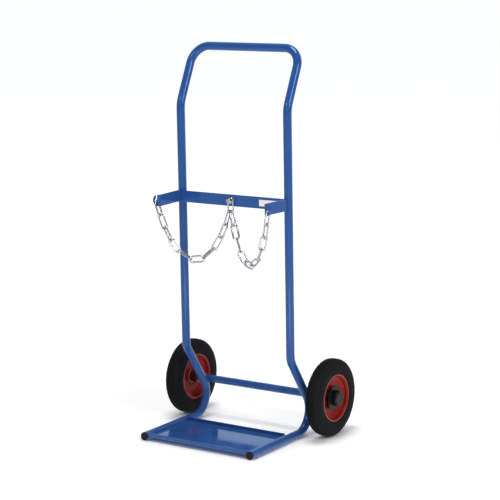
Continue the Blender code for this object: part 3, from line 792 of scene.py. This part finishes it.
def build_welds():
    """Beads that join the band, the plate and the cross tube to the bent tube."""
    for side, name in SIDES:
        for place, off in (("top", BAND_HALF + BEAD_LIFT), ("bottom", -BAND_HALF - BEAD_LIFT)):
            reach = TUBE_RADIUS + BEAD_STAND
            points = []
            for index in range(41):
                turn = math.radians(BAND_BEAD_TURN * (index / 20 - 1.0))
                points.append(Vector((
                    side * TUBE_X + reach * math.sin(turn),
                    UPRIGHT_Y - reach * math.cos(turn),
                    BAND_Z + off,
                )))
            weld(f"band_weld_{place}_{name}", points, BAND_BEAD)

        # A ring round the place where the cross tube touches the bend of the foot
        bend_centre = FOOT_CENTRE + X_AXIS * side * TUBE_X
        outwards = Vector((0.0, AXLE_Y, AXLE_Z)) - FOOT_CENTRE
        outwards.normalize()
        upwards = X_AXIS.cross(outwards)
        touch = bend_centre + outwards * (FOOT_BEND + TUBE_RADIUS + GAP / 2)
        points = []
        for index in range(96):
            turn = 2.0 * math.pi * index / 96
            across, along = CROSS_BEAD_RING * math.cos(turn), CROSS_BEAD_RING * math.sin(turn)
            lift = (along ** 2 / (2 * AXLE_TUBE_RADIUS) - across ** 2 / (2 * TUBE_RADIUS)) / 2
            points.append(touch + X_AXIS * across + upwards * along + outwards * lift)
        weld("cross_tube_weld_" + name, points, CROSS_BEAD, ring=True)

        # Short beads under the plate's sides, and up the ends of its two lips
        under = TUBE_RADIUS - PLATE_SHEET / 2 - BEAD_STAND
        for number, y in enumerate(PLATE_BEAD_STARTS, 1):
            start = Vector((side * (PLATE_HALF - BEAD_LIFT), y, under))
            points = spaced(start, start + Y_AXIS * PLATE_BEAD_LENGTH)
            weld(f"plate_weld_{number}_{name}", points, PLATE_BEAD)
        for edge, lip_y in (("front", LIP_FRONT_Y), ("rear", LIP_REAR_Y)):
            low = Vector((side * (PLATE_HALF + BEAD_LIFT), lip_y, LIP_BEAD_LOW))
            high = Vector((side * (PLATE_HALF + LIP_BEAD_OUT), lip_y, LIP_BEAD_HIGH))
            weld(f"lip_weld_{edge}_{name}", spaced(low, high), LIP_BEAD)


# --------------------------------------------------------------------- wheels

def ring_outline(start, end, bore, radius, edge):
    """Outline of a ring with softened outer edges."""
    slant = edge * 0.3
    return [
        (start, bore), (start, radius - edge), (start + slant, radius - slant),
        (start + edge, radius), (end - edge, radius), (end - slant, radius - slant),
        (end, radius - edge), (end, bore),
    ]


def ring_mesh(start, end, bore, radius, edge, count=48):
    """A ring about X with softened outer edges."""
    return skin(turned(ring_outline(start, end, bore, radius, edge), count), closed=True)


def build_axle():
    """The cross tube, the bar in it and the rings that hold the wheels."""
    middle = Matrix.Translation((0.0, AXLE_Y, AXLE_Z))
    bore = AXLE_RADIUS + GAP
    tube = ring_mesh(-AXLE_TUBE_HALF, AXLE_TUBE_HALF, bore, AXLE_TUBE_RADIUS, 0.0006, 40)
    add("cross_tube", tube, blue_paint, "frame", ["axle_tube"], middle)
    reach = WHEEL_X + AXLE_END
    bar = skin(turned(bent_outline([
        (-reach, CORE), (-reach, AXLE_RADIUS), (reach, AXLE_RADIUS), (reach, CORE),
    ], [0.0012, 0.0012]), 40), closed=False)
    add("axle_bar", bar, steel, "frame", ["axle"], middle)
    # Piece, solid, start outwards from the wheel's middle, thickness and radius
    rings = (
        ("hub_washer_inner_", "washer_inner_", 0.2404 - WHEEL_X, 0.002, 0.017),
        ("hub_washer_outer_", "washer_outer_", 0.0226, 0.0015, 0.016),
        ("axle_ring_", "axle_clip_", 0.0244, 0.002, 0.0135),
    )
    for piece, solid, start, thickness, radius in rings:
        mesh = ring_mesh(WHEEL_X + start, WHEEL_X + start + thickness, bore, radius, 0.0003)
        for side, name in SIDES:
            turn = Matrix.Rotation(0.0 if side > 0 else math.pi, 4, "Z")
            add(piece + name, mesh, steel, "frame", [solid + name], middle @ turn)


def curve_through(points, count):
    """Points of a smooth curve through given points, and their distance along it."""
    points = np.array(points, float)
    padded = np.vstack([2 * points[0] - points[1], points, 2 * points[-1] - points[-2]])
    curve = []
    for index in range(len(points) - 1):
        a, b, c, d = padded[index:index + 4]
        square, cube = 2 * a - 5 * b + 4 * c - d, 3 * b - a - 3 * c + d
        for t in np.linspace(0.0, 1.0, count, endpoint=False):
            curve.append(0.5 * (2 * b + (c - a) * t + square * t ** 2 + cube * t ** 3))
    curve.append(points[-1])
    curve = np.array(curve)
    reach = np.concatenate([[0.0], np.cumsum(np.linalg.norm(np.diff(curve, axis=0), axis=1))])
    return curve, reach


def tyre_outline():
    """Half a tyre's outside from the bead to the middle of the tread, with grooves and rings."""
    curve, reach = curve_through([
        (0.02079, 0.07547), (0.02240, 0.07745), (0.02400, 0.0812), (0.02490, 0.0872),
        (0.02500, 0.0960), (0.02385, 0.1065), (0.02150, 0.1150), (0.01830, 0.1204),
        (0.01350, 0.1236), (0.00700, 0.1248), (0.0, 0.1250),
    ], 24)
    slope = np.gradient(curve, axis=0)
    normal = np.stack([slope[:, 1], -slope[:, 0]], axis=1)
    normal /= np.linalg.norm(normal, axis=1)[:, None]

    def place_at(x=None, radius=None):
        """Distance along the curve to an x on the tread or a radius on the wall."""
        if x is None:
            return reach[np.argmin(abs(curve[:, 1] - radius) + (curve[:, 1] > 0.12))]
        return reach[np.argmin(abs(curve[:, 0] - x) + (curve[:, 1] < 0.12))]

    # Middle, half width, flank and height of each groove or ring
    features = [
        (place_at(x=0.0046), 0.0012, 0.0005, -GROOVE_DEPTH),
        (place_at(x=0.0122), 0.0012, 0.0005, -GROOVE_DEPTH),
        (place_at(radius=0.1105), 0.0006, 0.0005, RING_HEIGHT),
        (place_at(radius=0.0850), 0.0008, 0.0006, RING_HEIGHT),
    ]
    stations = set()
    for middle, half, flank, _ in features:
        stations |= {middle - half - flank, middle - half, middle + half, middle + half + flank}
    for place in np.arange(0.0, reach[-1], 0.0022):
        if all(abs(place - middle) > half + flank + 0.0006 for middle, half, flank, _ in features):
            stations.add(float(place))
    outline = []
    for place in sorted(stations | {float(reach[-1])}):
        height = 0.0
        for middle, half, flank, rise in features:
            height += rise * min(1.0, max(0.0, 1.0 - (abs(place - middle) - half) / flank))
        shifted = curve + height * normal
        outline.append(tuple(np.interp(place, reach, shifted[:, axis]) for axis in (0, 1)))
    outline[-1] = (0.0, outline[-1][1])
    return outline


def rim_outline():
    """Outline of one pressed dish, from the hub to its rolled lip."""
    path = bent_path([
        Vector((0.0014, 0.0203, 0.0)), Vector((0.0014, 0.0520, 0.0)), Vector((0.0100, 0.0695, 0.0)),
        Vector((0.0180, 0.0695, 0.0)), Vector((0.0220, 0.0745, 0.0)),
    ], [0.008, 0.006, 0.0025], math.radians(9.0))
    half = RIM_SHEET / 2
    left = [(p.x - d.y * half, p.y + d.x * half) for p, d in path]
    right = [(p.x + d.y * half, p.y - d.x * half) for p, d in path]
    tip, way = path[-1]
    round_lip = []
    for index in range(1, 8):
        turn = math.pi / 2 - math.pi * index / 8
        round_lip.append((
            tip.x + half * (way.x * math.cos(turn) - way.y * math.sin(turn)),
            tip.y + half * (way.y * math.cos(turn) + way.x * math.sin(turn)),
        ))
    return left + round_lip + right[::-1]


def build_wheels():
    """Two wheels: a ribbed solid tyre on two pressed dishes, a hub with bushes and a cover."""
    half_tyre = tyre_outline()
    seat = [(0.0, 0.07105), (0.0172, 0.07105), (0.0185, 0.0721)]
    right_half = seat + half_tyre
    left_half = [(-x, radius) for x, radius in reversed(right_half[1:-1])]
    tyre = skin(turned(right_half + left_half, 96), closed=True, sharp=math.radians(28.0))
    rim = skin(turned(rim_outline(), 96), closed=True)
    hub = ring_mesh(-HUB_INSIDE, HUB_OUTSIDE, HUB_BORE, HUB_RADIUS, 0.0006)
    bore, stem, face = AXLE_RADIUS + GAP, HUB_BORE - GAP, GAP + BUSH_FLANGE
    bush = skin(turned([
        (GAP, bore), (face, bore), (face, BUSH_FLANGE_RADIUS - BUSH_CHAMFER),
        (face - BUSH_CHAMFER, BUSH_FLANGE_RADIUS), (GAP, BUSH_FLANGE_RADIUS),
        (GAP, stem), (-BUSH_LENGTH, stem), (-BUSH_LENGTH, bore),
    ], 48), closed=True)
    # From the inside of the cover's end, round its foot and flange, to its dished outside
    cover = skin(turned(bent_outline([
        (0.0330, 0.0008), (0.0330, 0.0203), (0.00295, 0.0203), (0.00295, 0.0248), (0.01435, 0.0248),
        (0.01435, 0.0400), (0.01685, 0.0400), (0.01685, 0.0248), (0.0355, 0.0248), (0.0355, 0.0160),
        (0.0348, 0.0152), (0.0348, 0.0008),
    ], [
        0.005, 0.0004, 0.0004, 0.0012, 0.0007, 0.0011, 0.0020, 0.0060, 0.0004, 0.0004,
    ]), 64), closed=False)
    for side, name in SIDES:
        body = name + "_wheel"
        centre = Matrix.Translation((side * WHEEL_X, AXLE_Y, AXLE_Z))
        outwards = centre @ Matrix.Rotation(0.0 if side > 0 else math.pi, 4, "Z")
        inwards = outwards @ Matrix.Rotation(math.pi, 4, "Z")
        add("rubber_tyre_" + name, tyre, rubber, body, ["tyre_" + name], outwards)
        add("rim_dish_outer_" + name, rim, red_paint, body,
            ["rim_outer_" + name], outwards)
        add("rim_dish_inner_" + name, rim, red_paint, body,
            ["rim_inner_" + name], inwards)
        add("hub_sleeve_" + name, hub, red_paint, body, ["hub_" + name], outwards)
        add("hub_bush_outer_" + name, bush, bronze, body, ["bush_outer_" + name],
            outwards @ Matrix.Translation((HUB_OUTSIDE, 0.0, 0.0)))
        add("hub_bush_inner_" + name, bush, bronze, body, ["bush_inner_" + name],
            inwards @ Matrix.Translation((HUB_INSIDE, 0.0, 0.0)))
        add("hub_cover_" + name, cover, black_plastic, body,
            ["hub_cap_" + name], outwards)
        ring = turned([(HUB_BEAD_X, HUB_BEAD_RADIUS)], 200)[0]
        points = [inwards @ spot for spot in ring]
        weld("hub_weld_" + name, points, HUB_BEAD, red_paint, body, ring=True)


# --------------------------------------------------------------------- chains

def link_mesh():
    """A welded link in its XY plane, long along X, with the bulge of the weld on one side."""
    path, profiles = [], []
    for end in (1, -1):
        for index in range(17):
            turn = math.pi * (index / 16 - 0.5)
            out = Vector((math.cos(turn), math.sin(turn), 0.0)) * end
            spot = X_AXIS * end * LINK_STRAIGHT / 2 + out * LINK_BEND
            path.append((spot, Vector((-out.y, out.x, 0.0))))
            profiles.append(disc_profile(LINK_WIRE / 2, 16))
        for index in range(1, 12):
            x = end * LINK_STRAIGHT * (0.5 - index / 12)
            bulge = 0.0
            if end > 0:
                bulge = LINK_BULGE * math.exp(-(x / LINK_BULGE_REACH) ** 2)
            path.append((Vector((x, end * LINK_BEND, 0.0)), X_AXIS * -end))
            profiles.append(disc_profile(LINK_WIRE / 2 + bulge, 16))
    return skin(sweep(path, profiles, -Y_AXIS), closed=True, sharp=math.pi)


def lie_of(solid):
    """Place of a link's solid: its middle, its length along X and its width along Y."""
    points = np.array([vertex.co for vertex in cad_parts[solid].data.vertices], float)
    points = np.unique(points.round(6), axis=0)
    middle = points.mean(axis=0)
    axes = np.linalg.svd(points - middle)[2]
    along, across = Vector(axes[0]), Vector(axes[1])
    if along.z > 0:
        along = -along
    turn = Matrix((along, across, along.cross(across))).transposed().to_4x4()
    return Matrix.Translation(middle) @ turn


def build_chains():
    """The bolt in the band's middle and the links that hang from it to the ears."""
    along_y = Matrix.Translation((0.0, 0.0, BAND_Z)) @ Matrix.Rotation(math.pi / 2, 4, "Z")
    band_rear = BAND_Y + BAND_SHEET / 2
    band_front = BAND_Y - BAND_SHEET / 2
    rear_washer = band_rear + GAP
    nut_start = rear_washer + BOLT_WASHER + GAP
    nut_end = nut_start + NUT_HEIGHT
    tip = nut_end + BOLT_PAST_NUT
    front_washer = band_front - GAP - LINK_WIRE - GAP - BOLT_WASHER
    head_back = front_washer - GAP
    head_front = head_back - HEAD_HEIGHT

    face = BOLT_FLATS / 2
    shank = [(head_back, BOLT_RADIUS)]
    thread_start = band_rear + THREAD_RUN_IN
    turns = int((tip - TIP_CHAMFER - thread_start) / THREAD_PITCH)
    for index in range(turns):
        start = thread_start + THREAD_PITCH * index
        shank += [
            (start, BOLT_RADIUS), (start + 0.0004, BOLT_RADIUS),
            (start + 0.0009, BOLT_RADIUS - THREAD_DEPTH),
        ]
    shank += [(tip - TIP_CHAMFER, BOLT_RADIUS - 0.0002), (tip, BOLT_RADIUS - 0.0009)]
    head = [
        (head_front + 0.0002, face * 0.70), (head_front, face * 0.78), (head_front, face * 0.93),
    ]
    corners = [
        six_sided(head_front + CORNER_CHAMFER, BOLT_FLATS), six_sided(head_back, BOLT_FLATS),
    ]
    bolt = skin(turned(head, 24) + corners + turned(shank, 24), closed=False)
    add("middle_bolt", bolt, zinc, "frame", ["centre_bolt"], along_y)
    bore = BOLT_RADIUS + GAP
    corners = [
        six_sided(nut_start + CORNER_CHAMFER, BOLT_FLATS),
        six_sided(nut_end - CORNER_CHAMFER, BOLT_FLATS),
    ]
    inside = [
        (nut_end, face * 0.95), (nut_end, bore + BORE_CHAMFER), (nut_end - BORE_CHAMFER, bore),
        (nut_start + BORE_CHAMFER, bore), (nut_start, bore + BORE_CHAMFER),
    ]
    nut = skin(turned([(nut_start, face * 0.95)], 24) + corners + turned(inside, 24), closed=True)
    add("middle_nut", nut, zinc, "frame", ["centre_nut"], along_y)
    for name, start in (("front", front_washer), ("rear", rear_washer)):
        washer = ring_mesh(start, start + BOLT_WASHER, bore, BOLT_WASHER_RADIUS, 0.0003)
        add("middle_washer_" + name, washer, zinc, "frame",
            ["bolt_washer_" + name], along_y)

    link = link_mesh()
    add("link_centre", link, link_zinc, "frame", ["centre_link"], lie_of("centre_link"))
    for _, name in SIDES:
        for number in range(1, STRAND_LINKS + 1):
            solid = f"chain_{name}_link_{number:02d}"
            body = "frame" if number == 1 else name + "_chain"
            add(f"link_{name}_{number:02d}", link, link_zinc, body, [solid], lie_of(solid))


# ------------------------------------------------------- floor, light, camera

AZIMUTH = math.radians(34.3197)
ELEVATION = math.radians(10.3988)
ROLL = math.radians(-0.9686)
EYE = Vector((3.13719, -4.51780, 1.60614))
LENS = 126.64


def camera_turn():
    """Right, up and backward directions of the camera."""
    flat = math.cos(ELEVATION)
    back = Vector((math.sin(AZIMUTH) * flat, -math.cos(AZIMUTH) * flat, math.sin(ELEVATION)))
    level = Vector((math.cos(AZIMUTH), math.sin(AZIMUTH), 0.0))
    rise = back.cross(level)
    right = level * math.cos(ROLL) + rise * math.sin(ROLL)
    up = rise * math.cos(ROLL) - level * math.sin(ROLL)
    return Matrix((right, up, back)).transposed()


def build_camera():
    """The camera at the photograph's view."""
    data = bpy.data.cameras.new("camera")
    data.sensor_fit = "HORIZONTAL"
    data.sensor_width = 36.0
    data.lens = LENS
    data.clip_end = 300.0
    camera = bpy.data.objects.new("camera", data)
    bpy.context.scene.collection.objects.link(camera)
    camera.matrix_world = Matrix.Translation(EYE) @ camera_turn().to_4x4()
    bpy.context.scene.camera = camera


def softbox(name, spot, target, width, height, power):
    """A rectangular soft light turned to a target."""
    data = bpy.data.lights.new(name, "AREA")
    data.shape = "RECTANGLE"
    data.size, data.size_y = width, height
    data.energy = power
    light = bpy.data.objects.new(name, data)
    bpy.context.scene.collection.objects.link(light)
    light.location = spot
    light.visible_camera = False
    light.rotation_euler = (Vector(target) - Vector(spot)).to_track_quat("-Z", "Y").to_euler()


def build_stage():
    """A pale floor, soft boxes and a pale surround that is darker behind the camera."""
    floor_half = 80.0
    sheet = bpy.data.meshes.new("floor")
    around = ((-1, -1), (1, -1), (1, 1), (-1, 1))
    corners = [(x * floor_half, y * floor_half, 0.0) for x, y in around]
    sheet.from_pydata(corners, [], [(0, 1, 2, 3)])
    finish, tree, shader = open_finish("pale_floor", (0.9, 0.9, 0.9, 1.0))
    toned = mixed(tree, noise(tree, 1.5, 2.0), (0.84, 0.835, 0.815, 1.0), (0.86, 0.855, 0.835, 1.0))
    tree.links.new(toned, shader.inputs["Base Color"])
    shader.inputs["Roughness"].default_value = 0.9
    shader.inputs["Specular IOR Level"].default_value = 0.1
    shader.inputs["Emission Color"].default_value = (1.0, 1.0, 1.0, 1.0)
    # Seen by the camera, the floor glows to white further out, and close to the object its glow is
    # darkened by ambient occlusion as painted contact shadows
    distance = node(tree, "VectorMath", {0: own_place(tree)}, operation="LENGTH").outputs["Value"]
    clear = node(tree, "AmbientOcclusion", {"Distance": 0.06}).outputs["AO"]
    seen = times(tree, remap(tree, distance, 0.6, 4.5, 0.33, 0.74), clear, clear)
    ray = node(tree, "LightPath").outputs["Is Camera Ray"]
    tree.links.new(remap(tree, ray, 0.0, 1.0, 0.40, seen), shader.inputs["Emission Strength"])
    sheet.materials.append(finish)
    floor = bpy.data.objects.new("floor", sheet)
    bpy.context.scene.collection.objects.link(floor)

    # Name, place, target, width, height and power
    for box in (
        ("side_box", (2.9, -0.75, 2.15), (0.0, 0.0, 0.8), 0.7, 1.2, 37.0),
        ("front_box", (-0.7, -4.2, 3.4), (0.0, 0.0, 0.5), 1.0, 1.0, 36.0),
        ("glint_box", (1.2, -3.6, 1.65), (0.0, 0.0, 0.2), 0.3, 0.3, 6.0),
        ("top_box", (0.0, 0.0, 4.5), (0.0, 0.0, 0.0), 1.4, 1.4, 84.0),
        ("low_box", (1.07, -1.57, 0.03), (1.07, -1.57, 1.0), 1.0, 1.0, 9.0),
    ):
        softbox(*box)

    world = bpy.data.worlds.new("surround")
    bpy.context.scene.world = world
    world.use_nodes = True
    tree = world.node_tree
    tree.nodes.clear()
    way = node(tree, "TexCoord").outputs["Generated"]
    away = -(camera_turn() @ Z_AXIS)
    inputs = {0: way, 1: (away.x, away.y, 0.0)}
    facing = node(tree, "VectorMath", inputs, operation="DOT_PRODUCT").outputs["Value"]
    glow = remap(tree, facing, 0.0, 0.8, 0.12, 0.75)
    white = (1.0, 1.0, 1.0, 1.0)
    cool = (0.91, 1.14, 1.36, 1.0)
    tone = mixed(tree, remap(tree, facing, 0.4, 0.9, 0.0, 1.0), white, cool)
    seen = node(tree, "Background", {"Color": white, "Strength": 1.0}).outputs[0]
    lit = node(tree, "Background", {"Color": tone, "Strength": glow}).outputs[0]
    ray = node(tree, "LightPath").outputs["Is Camera Ray"]
    blend = node(tree, "MixShader", {0: ray, 1: lit, 2: seen}).outputs[0]
    output = node(tree, "OutputWorld")
    tree.links.new(blend, output.inputs["Surface"])
    bpy.context.scene.view_settings.view_transform = "Standard"


build_tube()
build_plate()
build_band()
build_welds()
build_axle()
build_wheels()
build_chains()
build_stage()
build_camera()
